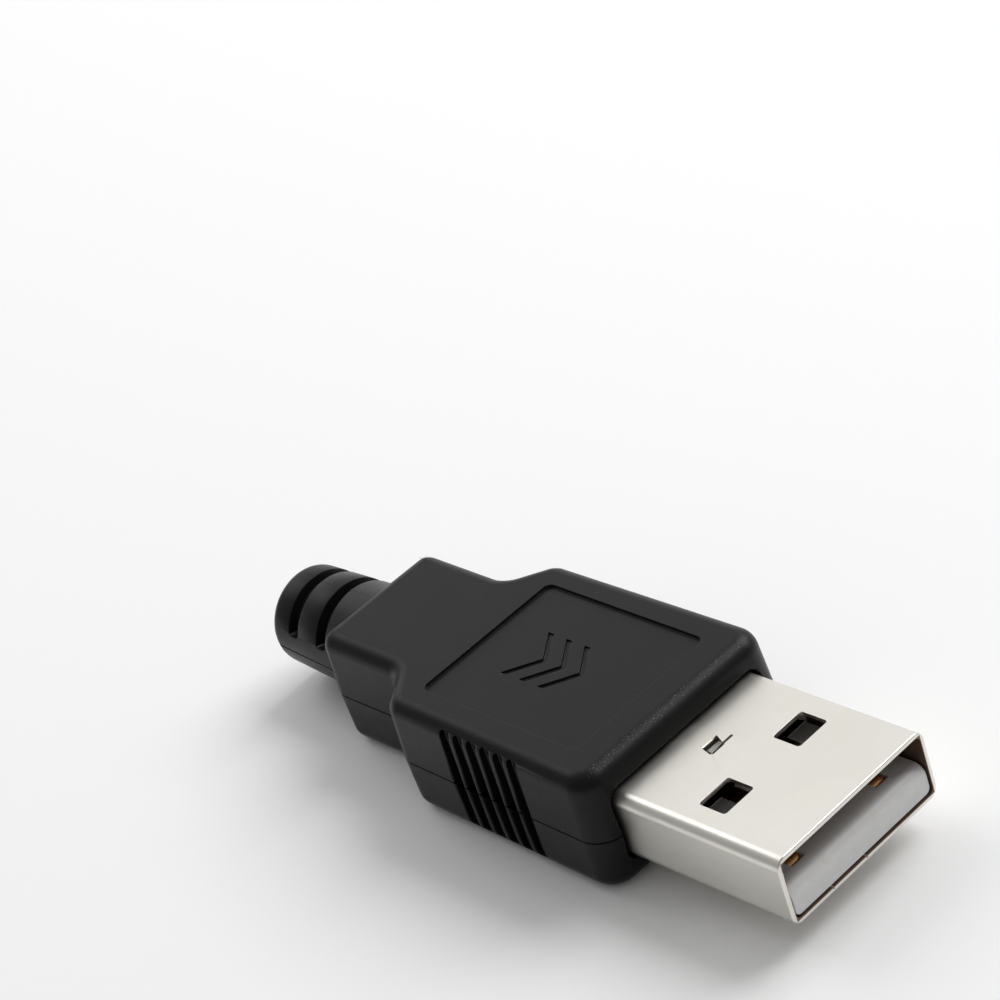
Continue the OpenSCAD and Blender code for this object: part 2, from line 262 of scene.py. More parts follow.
def finished(obj, node, finish, smooth=35):
    """Brings a piece to metres, smooths it and puts it in its CAD node's place."""
    only(obj)
    obj.scale = (MM, MM, MM)
    bpy.ops.object.transform_apply(location=False, rotation=False, scale=True)
    bpy.ops.object.shade_smooth_by_angle(angle=math.radians(smooth))
    apply_modifier(obj, "WEIGHTED_NORMAL", mode="FACE_AREA", weight=80, keep_sharp=True)
    obj.data.materials.clear()
    obj.data.materials.append(finish)
    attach(obj, "root")
    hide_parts(node)
    return obj


# ---- Camera and light ----

def add_camera():
    bpy.ops.object.camera_add(location=(0.12791562, -0.08693031, 0.11408329),
                              rotation=[math.radians(a) for a in (56.88840435, 15.9993119, 45.38182864)])
    camera = bpy.context.object
    camera.data.sensor_width = 36
    camera.data.lens = 118.88627
    camera.data.clip_start = 0.01
    bpy.context.scene.camera = camera


def add_softbox(name, toward, distance, size, radiance):
    """Square lamp that faces the plug, given by how bright its surface looks."""
    direction = Vector(toward).normalized()
    bpy.ops.object.light_add(type="AREA", location=direction * distance)
    lamp = bpy.context.object
    lamp.name = name
    lamp.rotation_euler = direction.to_track_quat("Z", "Y").to_euler()
    lamp.data.size = size
    lamp.data.energy = radiance * math.pi * size * size


def background_rays(nodes, links):
    """One for the rays that should see the plain white background."""
    path = nodes.new("ShaderNodeLightPath")
    first = nodes.new("ShaderNodeMath")
    second = nodes.new("ShaderNodeMath")
    first.operation = second.operation = "ADD"
    second.use_clamp = True
    links.new(path.outputs["Is Camera Ray"], first.inputs[0])
    links.new(path.outputs["Is Glossy Ray"], first.inputs[1])
    links.new(first.outputs[0], second.inputs[0])
    links.new(path.outputs["Is Transmission Ray"], second.inputs[1])
    return second.outputs[0]


def add_studio():
    bpy.context.scene.view_settings.view_transform = "Standard"
    add_softbox("rear_softbox", (-0.70, 0.48, 0.53), 0.6, 0.7, 0.44)
    add_softbox("side_softbox", (-0.70, 0.0, 0.70), 0.6, 0.3, 1.3)
    add_softbox("far_softbox", (0.15, 0.85, 0.85), 0.6, 0.4, 4.6)
    world = bpy.context.scene.world or bpy.data.worlds.new("studio")
    bpy.context.scene.world = world
    world.use_nodes = True
    tree = world.node_tree
    tree.nodes.clear()
    out = tree.nodes.new("ShaderNodeOutputWorld")
    room = tree.nodes.new("ShaderNodeBackground")
    room.inputs["Color"].default_value = (1, 1, 1, 1)
    tree.links.new(room.outputs[0], out.inputs["Surface"])
    side = tree.nodes.new("ShaderNodeVectorMath")
    side.operation = "DOT_PRODUCT"
    side.inputs[1].default_value = (-0.75, 0.6, 0.25)
    tree.links.new(tree.nodes.new("ShaderNodeTexCoord").outputs["Generated"], side.inputs[0])
    seen = tree.nodes.new("ShaderNodeLightPath").outputs["Is Camera Ray"]
    level = stretch(tree, side.outputs["Value"], -0.8, 0.8, 0.2, 0.5)
    tree.links.new(maths(tree, "MAXIMUM", level, seen), room.inputs["Strength"])


def add_floor():
    bpy.ops.object.select_all(action="DESELECT")
    bpy.ops.mesh.primitive_plane_add(size=4, location=(0, 0, 0))
    floor = bpy.context.object
    floor.name = "floor"
    finish = bpy.data.materials.new("floor_paper")
    finish.use_nodes = True
    nodes, links = finish.node_tree.nodes, finish.node_tree.links
    shade = nodes["Principled BSDF"]
    shade.inputs["Roughness"].default_value = 1
    shade.inputs["Specular IOR Level"].default_value = 0
    tone = nodes.new("ShaderNodeMix")
    tone.data_type = "RGBA"
    tone.inputs[6].default_value = (0.74, 0.74, 0.74, 1)
    tone.inputs[7].default_value = (1, 1, 1, 1)
    links.new(background_rays(nodes, links), tone.inputs[0])
    links.new(tone.outputs[2], shade.inputs["Base Color"])
    floor.data.materials.append(finish)


# ---- Shared effects ----

def effect(name, inputs, outputs):
    """Empty node group with named number inputs and outputs, and its two ends."""
    group = bpy.data.node_groups.new(name, "ShaderNodeTree")
    for label, value in inputs:
        socket = group.interface.new_socket(name=label, in_out="INPUT", socket_type="NodeSocketFloat")
        socket.default_value = value
    for label in outputs:
        group.interface.new_socket(name=label, in_out="OUTPUT", socket_type="NodeSocketFloat")
    return group, group.nodes.new("NodeGroupInput"), group.nodes.new("NodeGroupOutput")


def noise(tree, place, scale, detail, roughness=0.5):
    """Noise texture on Object coordinates; scale is a number or a socket."""
    made = tree.nodes.new("ShaderNodeTexNoise")
    made.inputs["Detail"].default_value = detail
    made.inputs["Roughness"].default_value = roughness
    if isinstance(scale, (int, float)):
        made.inputs["Scale"].default_value = scale
    else:
        tree.links.new(scale, made.inputs["Scale"])
    tree.links.new(place, made.inputs["Vector"])
    return made.outputs[0]


def stretch(tree, value, low, high, to_low=0, to_high=1):
    """Maps a value from one range to another; the ends are numbers or sockets."""
    made = tree.nodes.new("ShaderNodeMapRange")
    for socket, end in zip(made.inputs[1:5], (low, high, to_low, to_high)):
        if isinstance(end, (int, float)):
            socket.default_value = end
        else:
            tree.links.new(end, socket)
    tree.links.new(value, made.inputs[0])
    return made.outputs[0]


def maths(tree, how, a, b):
    made = tree.nodes.new("ShaderNodeMath")
    made.operation = how
    for socket, term in zip(made.inputs, (a, b)):
        if isinstance(term, (int, float)):
            socket.default_value = term
        else:
            tree.links.new(term, socket)
    return made.outputs[0]


def object_place(tree):
    return tree.nodes.new("ShaderNodeTexCoord").outputs["Object"]


def make_grain():
    """Fine texture of a spark-eroded mould: a height, and the few grains that stand highest, as a mask for
    painted glints.
    """
    tree, start, end = effect("moulded_grain", (("Size", 8000), ("Peaks", 0.66)), ("Height", "Glint"))
    place = object_place(tree)
    fine = noise(tree, place, start.outputs["Size"], 3, 0.6)
    coarse = noise(tree, place, maths(tree, "MULTIPLY", start.outputs["Size"], 0.35), 2)
    height = maths(tree, "ADD", maths(tree, "MULTIPLY", fine, 0.6), maths(tree, "MULTIPLY", coarse, 0.4))
    tree.links.new(height, end.inputs["Height"])
    peak = stretch(tree, fine, start.outputs["Peaks"], 0.8)
    tree.links.new(peak, end.inputs["Glint"])
    return tree


def make_handling():
    """Slow, cloudy variation from moulding, plating and handling, from 0 to 1."""
    tree, start, end = effect("handling", (("Size", 300),), ("Cloud", "Smudge"))
    place = object_place(tree)
    cloud = noise(tree, place, start.outputs["Size"], 4, 0.55)
    tree.links.new(stretch(tree, cloud, 0.3, 0.7), end.inputs["Cloud"])
    smudge = noise(tree, place, maths(tree, "MULTIPLY", start.outputs["Size"], 3.1), 2)
    tree.links.new(stretch(tree, smudge, 0.52, 0.7), end.inputs["Smudge"])
    return tree


def make_edge_wear():
    """Edges within a reach in metres, whole and broken up into worn specks."""
    tree, start, end = effect("edge_wear", (("Reach", 0.0001), ("Break", 2500)), ("Edge", "Worn"))
    eased = tree.nodes.new("ShaderNodeBevel")
    eased.samples = 6
    tree.links.new(start.outputs["Reach"], eased.inputs["Radius"])
    match = tree.nodes.new("ShaderNodeVectorMath")
    match.operation = "DOT_PRODUCT"
    tree.links.new(eased.outputs[0], match.inputs[0])
    tree.links.new(tree.nodes.new("ShaderNodeNewGeometry").outputs["Normal"], match.inputs[1])
    edge = stretch(tree, match.outputs["Value"], 0.995, 0.9)
    broken = stretch(tree, noise(tree, object_place(tree), start.outputs["Break"], 2), 0.45, 0.6)
    tree.links.new(edge, end.inputs["Edge"])
    tree.links.new(maths(tree, "MULTIPLY", edge, broken), end.inputs["Worn"])
    return tree


def make_facing():
    """How far the surface faces one way, given as the three parts of that direction."""
    tree, start, end = effect("facing", (("X", 0), ("Y", 0), ("Z", 1), ("From", 0.8), ("To", 1)), ("Facing",))
    way = tree.nodes.new("ShaderNodeCombineXYZ")
    for label in "XYZ":
        tree.links.new(start.outputs[label], way.inputs[label])
    match = tree.nodes.new("ShaderNodeVectorMath")
    match.operation = "DOT_PRODUCT"
    tree.links.new(way.outputs[0], match.inputs[0])
    tree.links.new(tree.nodes.new("ShaderNodeNewGeometry").outputs["Normal"], match.inputs[1])
    tree.links.new(stretch(tree, match.outputs["Value"], start.outputs["From"], start.outputs["To"]),
                   end.inputs["Facing"])
    return tree


GRAIN = make_grain()
HANDLING = make_handling()
EDGE_WEAR = make_edge_wear()
FACING = make_facing()


def placed(tree, group, **values):
    made = tree.nodes.new("ShaderNodeGroup")
    made.node_tree = group
    for key, value in values.items():
        made.inputs[key].default_value = value
    return made.outputs


def blended(tree, amount, one, other):
    """Colour between two colours or colour sockets."""
    made = tree.nodes.new("ShaderNodeMix")
    made.data_type = "RGBA"
    tree.links.new(amount, made.inputs[0])
    for socket, colour in ((made.inputs[6], one), (made.inputs[7], other)):
        if isinstance(colour, tuple):
            socket.default_value = (*colour, 1)
        else:
            tree.links.new(colour, socket)
    return made.outputs[2]


def bumped(tree, shade, height, depth):
    made = tree.nodes.new("ShaderNodeBump")
    made.inputs["Distance"].default_value = depth
    tree.links.new(height, made.inputs["Height"])
    tree.links.new(made.outputs[0], shade.inputs["Normal"])


def new_finish(name, **constants):
    finish = bpy.data.materials.new(name)
    finish.use_nodes = True
    tree = finish.node_tree
    shade = tree.nodes["Principled BSDF"]
    for label, value in constants.items():
        shade.inputs[label.replace("_", " ")].default_value = value
    return finish, tree, shade


# ---- Materials ----

def cover_plastic():
    """Black nylon with a fine moulded grain; painted glints lighten its grain peaks and specks along its
    front upper edge, and its edges are lighter in broken specks of rubbed wear and painted glints.
    """
    finish, tree, shade = new_finish("cover_plastic", Specular_IOR_Level=0.2)
    grain = placed(tree, GRAIN, Size=6500, Peaks=0.62)
    clouds = placed(tree, HANDLING, Size=260)
    wear = placed(tree, EDGE_WEAR, Reach=0.00008, Break=5000)
    # Finer grain whose highest peaks place the painted glints along the front upper edge.
    glint_grain = placed(tree, GRAIN, Size=11000, Peaks=0.6)
    front_edge = placed(tree, FACING, X=0.4, Y=0.0, Z=0.917, From=0.94, To=0.99)
    tone = blended(tree, clouds["Cloud"], (0.0045, 0.0045, 0.0047), (0.0062, 0.0062, 0.0061))
    # Lighter broken specks on the edges: partly rubbed wear, partly painted glints on the rounded edges.
    tone = blended(tree, maths(tree, "MULTIPLY", wear["Worn"], 0.4), tone, (0.05, 0.05, 0.048))
    # Painted glints: the highest grain peaks lightened a little.
    tone = blended(tree, maths(tree, "MULTIPLY", grain["Glint"], 0.12), tone, (0.07, 0.07, 0.068))
    # Painted glints: bright specks on the front upper rounding, where it faces up and forward.
    specks = maths(tree, "MULTIPLY", glint_grain["Glint"], front_edge["Facing"])
    tone = blended(tree, specks, tone, (0.3, 0.3, 0.29))
    tree.links.new(tone, shade.inputs["Base Color"])
    tree.links.new(stretch(tree, clouds["Smudge"], 0, 1, 0.38, 0.34), shade.inputs["Roughness"])
    bumped(tree, shade, grain["Height"], 0.00001)
    return finish


def inside_of_shell(tree):
    """One on the inner skin of the shell, where painted shade goes, nought on its outside and edges."""
    parts = tree.nodes.new("ShaderNodeSeparateXYZ")
    tree.links.new(object_place(tree), parts.inputs[0])
    across = maths(tree, "LESS_THAN", maths(tree, "ABSOLUTE", parts.outputs["Y"], 0),
                   (SHELL_W / 2 - SHEET + 0.04) * MM)
    height = maths(tree, "SUBTRACT", parts.outputs["Z"], AXIS * MM)
    low = maths(tree, "LESS_THAN", maths(tree, "ABSOLUTE", height, 0), (SHELL_H / 2 - SHEET + 0.04) * MM)
    return maths(tree, "MULTIPLY", across, low)


def plated_sheet():
    """Satin nickel on rolled sheet, with faint rolling lines; its inner skin is dull and painted dark brown
    as shade.
    """
    finish, tree, shade = new_finish("plated_sheet", Metallic=1.0)
    clouds = placed(tree, HANDLING, Size=180)
    wear = placed(tree, EDGE_WEAR, Reach=0.00006, Break=3000)
    lines = tree.nodes.new("ShaderNodeMapping")
    lines.inputs["Scale"].default_value = (0.04, 1, 1)
    tree.links.new(object_place(tree), lines.inputs["Vector"])
    rolled = noise(tree, lines.outputs[0], 9000, 3, 0.6)
    mottle = noise(tree, object_place(tree), 3600, 3, 0.6)
    tone = blended(tree, clouds["Cloud"], (0.79, 0.77, 0.715), (0.75, 0.73, 0.675))
    tone = blended(tree, maths(tree, "MULTIPLY", clouds["Smudge"], 0.2), tone, (0.68, 0.65, 0.59))
    tone = blended(tree, maths(tree, "MULTIPLY", wear["Worn"], 0.4), tone, (0.88, 0.87, 0.84))
    inner = inside_of_shell(tree)
    # Painted shade: the inner skin of the shell darkened to brown.
    tone = blended(tree, inner, tone, (0.20, 0.14, 0.105))
    tree.links.new(tone, shade.inputs["Base Color"])
    rough = maths(tree, "ADD", stretch(tree, rolled, 0.3, 0.7, 0.32, 0.335),
                  maths(tree, "MULTIPLY", clouds["Smudge"], 0.06))
    tree.links.new(maths(tree, "ADD", rough, maths(tree, "MULTIPLY", inner, 0.22)), shade.inputs["Roughness"])
    bumped(tree, shade, mottle, 0.0000009)
    return finish


def white_plastic():
    """Milky moulded insulator, slightly see-through and yellower inside."""
    finish, tree, shade = new_finish("white_plastic", Subsurface_Weight=0.15, Subsurface_Scale=0.0006,
                                     Specular_IOR_Level=0.5)
    grain = placed(tree, GRAIN, Size=9000, Peaks=0.7)
    clouds = placed(tree, HANDLING, Size=400)
    tone = blended(tree, clouds["Cloud"], (0.8, 0.8, 0.79), (0.75, 0.75, 0.74))
    tone = blended(tree, maths(tree, "MULTIPLY", clouds["Smudge"], 0.3), tone, (0.7, 0.67, 0.61))
    tree.links.new(tone, shade.inputs["Base Color"])
    tree.links.new(stretch(tree, clouds["Smudge"], 0, 1, 0.36, 0.46), shade.inputs["Roughness"])
    bumped(tree, shade, grain["Height"], 0.000004)
    return finish


def contact_metal():
    """Thin gold over copper alloy, worn towards copper where it rubs."""
    finish, tree, shade = new_finish("contact_metal", Metallic=1.0)
    clouds = placed(tree, HANDLING, Size=900)
    wear = placed(tree, EDGE_WEAR, Reach=0.00005, Break=6000)
    tone = blended(tree, clouds["Cloud"], (0.76, 0.46, 0.19), (0.66, 0.36, 0.15))
    tone = blended(tree, wear["Worn"], tone, (0.66, 0.32, 0.18))
    tree.links.new(tone, shade.inputs["Base Color"])
    tree.links.new(stretch(tree, clouds["Smudge"], 0, 1, 0.24, 0.36), shade.inputs["Roughness"])
    return finish


# ---- Cover ----

def half_width(x):
    """Half width of the cover at its split, at a distance behind its front."""
    return (FRONT_W + (SHOULDER_W - FRONT_W) * x / SHOULDER_X) / 2


def cover_outline(level):
    """Flat outline of the cover at its split, with its corners rounded."""
    bpy.ops.object.select_all(action="DESELECT")
    bpy.ops.mesh.primitive_plane_add(size=1, location=(FRONT - SHOULDER_X / 2, 0, level))
    obj = baked("cover_outline", (SHOULDER_X, FRONT_W, 1))
    with shaping(obj):
        points(lambda p: p.x < FRONT - 1)
        resize((1, SHOULDER_W / FRONT_W, 1))
        edges(lambda a, b: max(a.x, b.x) < FRONT - 1)
        extrude((-SLOPE_L, 0, 0))
        resize((1, NECK_W / SHOULDER_W, 1))
        extrude((SLOPE_L + SHOULDER_X - COVER_L, 0, 0))
        edges(lambda a, b: abs(a.x - b.x) < TINY and COVER_END + 1 < a.x < FRONT - 1)
        bpy.ops.mesh.dissolve_edges(use_verts=False)
        slope = math.atan2((SHOULDER_W - NECK_W) / 2, SLOPE_L)
        taper = math.atan2((FRONT_W - SHOULDER_W) / 2, SHOULDER_X)
        for back, radius, turn in ((0, CORNER_R, math.pi / 2 - taper),
                                   (SHOULDER_X, SHOULDER_R, slope - taper),
                                   (SHOULDER_X + SLOPE_L, ROOT_R, slope),
                                   (COVER_L, REAR_R, math.pi / 2)):
            points(lambda p: abs(p.x - FRONT + back) < TINY)
            bevel_points(radius * math.tan(turn / 2), 10)
    return obj


def cover_block(rise, level):
    """Half of the cover as a full block: drafted walls and one rounded outer edge."""
    obj = cover_outline(level)
    with shaping(obj):
        bpy.ops.mesh.select_mode(type="FACE")
        bpy.ops.mesh.select_all(action="SELECT")
        bpy.ops.mesh.inset(thickness=rise * math.tan(SIDE_DRAFT), depth=rise, use_boundary=True,
                           use_even_offset=True)
        points(lambda p: p.z > level + TINY and p.x > FRONT - CORNER_R - 0.4)
        move((-rise * (math.tan(FRONT_DRAFT) - math.tan(SIDE_DRAFT)), 0, 0))
        edges(lambda a, b: min(a.z, b.z) > level + rise - TINY)
        bevel_edges(EDGE_R, 8)
        edges(lambda a, b: max(a.z, b.z) < level + TINY)
        bpy.ops.mesh.edge_face_add()
    outward(obj)
    return obj


def relief_half(level, above):
    """Half of the round strain relief, tapered and rounded at its end."""
    bpy.ops.object.select_all(action="DESELECT")
    bpy.ops.mesh.primitive_cylinder_add(vertices=96, radius=RELIEF_D / 2, depth=RELIEF_L + WALL,
                                        location=(END + (RELIEF_L + WALL) / 2, 0, AXIS),
                                        rotation=(0, math.pi / 2, 0))
    obj = baked("relief_half")
    scale = RELIEF_END_D / RELIEF_D
    with shaping(obj):
        points(lambda p: p.x < END + TINY)
        resize((1, scale, scale), (0, 0, AXIS))
        edges(lambda a, b: max(a.x, b.x) < END + TINY)
        bevel_edges(RELIEF_R, 8)
        bpy.ops.mesh.select_all(action="SELECT")
        bpy.ops.mesh.bisect(plane_co=(0, 0, level), plane_no=(0, 0, 1 if above else -1),
                            use_fill=True, clear_inner=True)
    outward(obj)
    return obj


def slot_cutter(x, above):
    """Ring part that cuts one slot, with rounded ends."""
    sweep = math.pi - 2 * (SPINE_ANGLE if above else LOWER_SPINE_ANGLE)
    floor_r = RELIEF_D / 2 - SLOT_DEPTH
    bpy.ops.object.select_all(action="DESELECT")
    bpy.ops.mesh.primitive_plane_add(size=1, rotation=(math.pi / 2, 0, 0),
                                     location=(x, 0, AXIS + floor_r + 1))
    obj = baked("slot_cutter", (SLOT_W, 2, 1))
    with shaping(obj):
        bpy.ops.mesh.select_all(action="SELECT")
        bpy.ops.mesh.spin(steps=48, angle=sweep, center=(0, 0, AXIS), axis=(1, 0, 0))
        bpy.ops.mesh.select_all(action="SELECT")
        bpy.ops.mesh.normals_make_consistent(inside=False)
        ends = ends_of_sweep(sweep)
        edges(lambda a, b: abs(a.x - b.x) < TINY and any(near_angle(a, e) and near_angle(b, e) for e in ends))
        bevel_edges(SLOT_W / 2 - 0.02, 6)
        bpy.ops.mesh.select_all(action="SELECT")
        middle = sum(ends) / 2
        turn = -middle if above else math.pi - middle
        bpy.ops.transform.rotate(value=turn, orient_axis="X", center_override=(0, 0, AXIS))
    outward(obj)
    return obj


def angle_round(p):
    """Angle of a point round the axis of the plug, from straight up."""
    return math.atan2(p.y, p.z - AXIS)


def near_angle(p, angle):
    return abs(math.remainder(angle_round(p) - angle, 2 * math.pi)) < 0.01


def ends_of_sweep(sweep):
    """The two end angles of a ring part that was swept from straight up."""
    mesh = bmesh.from_edit_mesh(bpy.context.object.data)
    side = 1 if sum(angle_round(v.co) for v in mesh.verts) > 0 else -1
    return 0, side * sweep


def grip_cutters():
    """Flared grooves for both sides, which leave narrow ribs with rounded tops."""
    bpy.ops.object.select_all(action="DESELECT")
    depth, width = GRIP_STEPS[0]
    half_l = (GRIP_H - GRIP_W) / 2
    bpy.ops.mesh.primitive_circle_add(vertices=26, radius=width, fill_type="NGON",
                                      location=(0, depth, AXIS), rotation=(math.pi / 2, 0, 0))
    first = baked("grip_cutter")
    with shaping(first):
        for side in (-1, 1):
            points(lambda p: (p.z - AXIS) * side > 0)
            move((0, 0, side * half_l))
        bpy.ops.mesh.select_mode(type="FACE")
        bpy.ops.mesh.select_all(action="SELECT")
        for new_depth, new_width in GRIP_STEPS[1:]:
            extrude((0, new_depth - depth, 0))
            resize((new_width / width, 1, (half_l + new_width) / (half_l + width)), (0, 0, AXIS))
            depth, width = new_depth, new_width
    outward(first)
    row = [copied(first, (FRONT - GRIP_X - i * GRIP_PITCH, -half_width(GRIP_X + i * GRIP_PITCH), 0))
           for i in range(GRIP_N)]
    bpy.data.objects.remove(first)
    near = joined("grip_cutters", row)
    far = flipped(copied(near), 1, (0, 0, 0))
    return joined("grip_cutters", [near, far])


def rounded_pocket(name, low, high, radius, steps=6):
    """Block whose four edges along X are rounded."""
    obj = slab(name, low, high)
    with shaping(obj):
        edges(lambda a, b: abs(a.x - b.x) > TINY)
        bevel_edges(radius, steps)
    return obj


def panel_cutter():
    front = FRONT - PANEL_X
    obj = slab("panel_cutter", (front - PANEL_L, -PANEL_W / 2, TOP - PANEL_DEPTH),
               (front, PANEL_W / 2, TOP + 1))
    with shaping(obj):
        edges(lambda a, b: abs(a.z - b.z) > TINY)
        bevel_edges(PANEL_R, 8)
    return obj


def chevron_cutter(x):
    """Shallow V-shaped channel across the panel, pointing to the mouth."""
    floor = TOP - PANEL_DEPTH - CHEVRON_DEPTH
    obj = slab("chevron_cutter", (x, 0, floor), (x + CHEVRON_W, CHEVRON_REACH, TOP + 1))
    with shaping(obj):
        points(lambda p: p.y > TINY)
        move((-CHEVRON_REACH * CHEVRON_SWEEP, 0, 0))
        faces(lambda c, n: c.y < TINY)
        bpy.ops.mesh.delete(type="FACE")
        bpy.ops.mesh.select_all(action="SELECT")
        bpy.ops.mesh.symmetrize(direction="POSITIVE_Y", threshold=TINY)
    outward(obj)
    return obj


def pocket_cutters():
    """Hollow inside: the shell's pocket, its wider mouth, the wires' room and the cord's bore."""
    h = SHELL_H / 2
    w = SHELL_W / 2
    tube_end = MOUTH - TUBE_L
    gap, fit = 0.25, 0.05
    neck = NECK_W / 2 - WALL
    side = w - WALL / 2
    parts = [
        rounded_pocket("pocket", (tube_end - fit, -w - fit, AXIS - h - fit),
                       (FRONT + 1, w + fit, AXIS + h + fit), BEND_R + fit),
        rounded_pocket("pocket_mouth", (FRONT - 1, -w - gap, AXIS - h - gap),
                       (FRONT + 1, w + gap, AXIS + h + gap), BEND_R + gap),
        slab("wire_room", (FRONT - SHOULDER_X + WALL / 2, -side, BASE + WALL), (tube_end, side, TOP - WALL)),
        slab("wire_neck", (-9, -neck, BASE + WALL), (FRONT - SHOULDER_X + 1, neck, TOP - WALL)),
        slab("clamp_room", (-13.2, -neck, BASE + WALL), (-10, neck, TOP - WALL)),
    ]
    for name, radius, low, high in (("bore", BORE_R, END - 1, -14), ("clamp_bore", BORE_R - 0.25, -14.5, -8)):
        bpy.ops.object.select_all(action="DESELECT")
        bpy.ops.mesh.primitive_cylinder_add(vertices=64, radius=radius, depth=high - low,
                                            location=((low + high) / 2, 0, AXIS),
                                            rotation=(0, math.pi / 2, 0))
        parts.append(baked(name))
    return parts


def cover_half(name, above, finish):
    """One half of the moulded cover with its half of the strain relief."""
    level = SPLIT if above else SPLIT - SEAM_GAP
    rise = TOP - level if above else level - BASE
    obj = cover_block(rise, level)
    if not above:
        flipped(obj, 2, (0, 0, level))
    combine(obj, relief_half(level, above), "UNION")
    for part in pocket_cutters():
        combine(obj, part, "DIFFERENCE")
    for i in range(SLOT_N):
        x = COVER_END - SLOT_X - SLOT_W / 2 - i * SLOT_PITCH
        combine(obj, slot_cutter(x, above), "DIFFERENCE")
    combine(obj, grip_cutters(), "DIFFERENCE")
    if above:
        combine(obj, panel_cutter(), "DIFFERENCE")
        first = FRONT - PANEL_X - PANEL_L / 2 - CHEVRON_X
        for i in range(CHEVRON_N):
            combine(obj, chevron_cutter(first + CHEVRON_PITCH * i), "DIFFERENCE")
    soften(obj, 0.05)
    obj.name = name
    return finished(obj, name.replace("_moulding", ""), finish)


# ---- Metal shell ----

def joint_cutter():
    """Thin slit along the sheet's joint, with a dovetail in the middle of the open length."""
    low, high = AXIS - SHELL_H / 2 - 1, AXIS - SHELL_H / 2 + 2 * SHEET
    middle = MOUTH - TUBE_OUT / 2
    gap = JOINT_GAP

    def tooth(grow, base):
        half = TOOTH_TOP / 2 + grow
        obj = slab("tooth", (middle - half, base, low), (middle + half, TOOTH_L + grow, high))
        with shaping(obj):
            points(lambda p: p.y < base + TINY)
            resize((TOOTH_BASE / TOOTH_TOP, 1, 1), (middle, 0, 0))
        return obj

    slit = slab("slit", (MOUTH - TUBE_L - 1, -gap / 2, low), (MOUTH - JOINT_START, gap / 2, high))
    combine(slit, tooth(gap, -gap / 2), "UNION")
    small = tooth(0, -gap)
    with shaping(small):
        bpy.ops.mesh.select_all(action="SELECT")
        resize((1, 1, 3), (0, 0, low))
        move((0, 0, -0.5))
    return combine(slit, small, "DIFFERENCE")


def plate(name, outline, low, high):
    """Flat plate through four points, each given as its distance behind the mouth and across."""
    obj = slab(name, (0, 0, low), (1, 1, high))
    targets = [(MOUTH - back, across) for back, across in outline]
    start = ((1, 1), (1, 0), (0, 0), (0, 1))
    with shaping(obj):
        mesh = bmesh.from_edit_mesh(obj.data)
        for v in mesh.verts:
            x, y = min(zip(start, targets), key=lambda pair: math.dist(pair[0], v.co.xy))[1]
            v.co.x, v.co.y = x, y
        bmesh.update_edit_mesh(obj.data)
    outward(obj)
    return obj


def lance_tab():
    """Short tongue of the sheet, bent down into the shell in two steps."""
    top = AXIS + SHELL_H / 2
    obj = plate("lance_tab", LANCE_TAB, top - SHEET, top)
    bend = MOUTH - LANCE_HOLE[0][0]
    with shaping(obj):
        for x in (bend, bend - 0.25, bend - 0.45):
            bpy.ops.mesh.select_all(action="SELECT")
            bpy.ops.mesh.bisect(plane_co=(x, 0, 0), plane_no=(1, 0, 0))
        for x, drop in ((bend - 0.2, 0.03), (bend - 0.4, 0.06), (bend - 0.5, LANCE_DIP - 0.09)):
            points(lambda p: p.x < x)
            move((0, 0, -drop))
    outward(obj)
    return obj


def on_outer_skin(p):
    """True for a point on the outside of the shell's rounded section."""
    y = max(abs(p.y) - SHELL_W / 2 + BEND_R, 0)
    z = max(abs(p.z - AXIS) - SHELL_H / 2 + BEND_R, 0)
    return math.hypot(y, z) > BEND_R - 0.05 if y and z else max(y, z) > BEND_R - 0.05


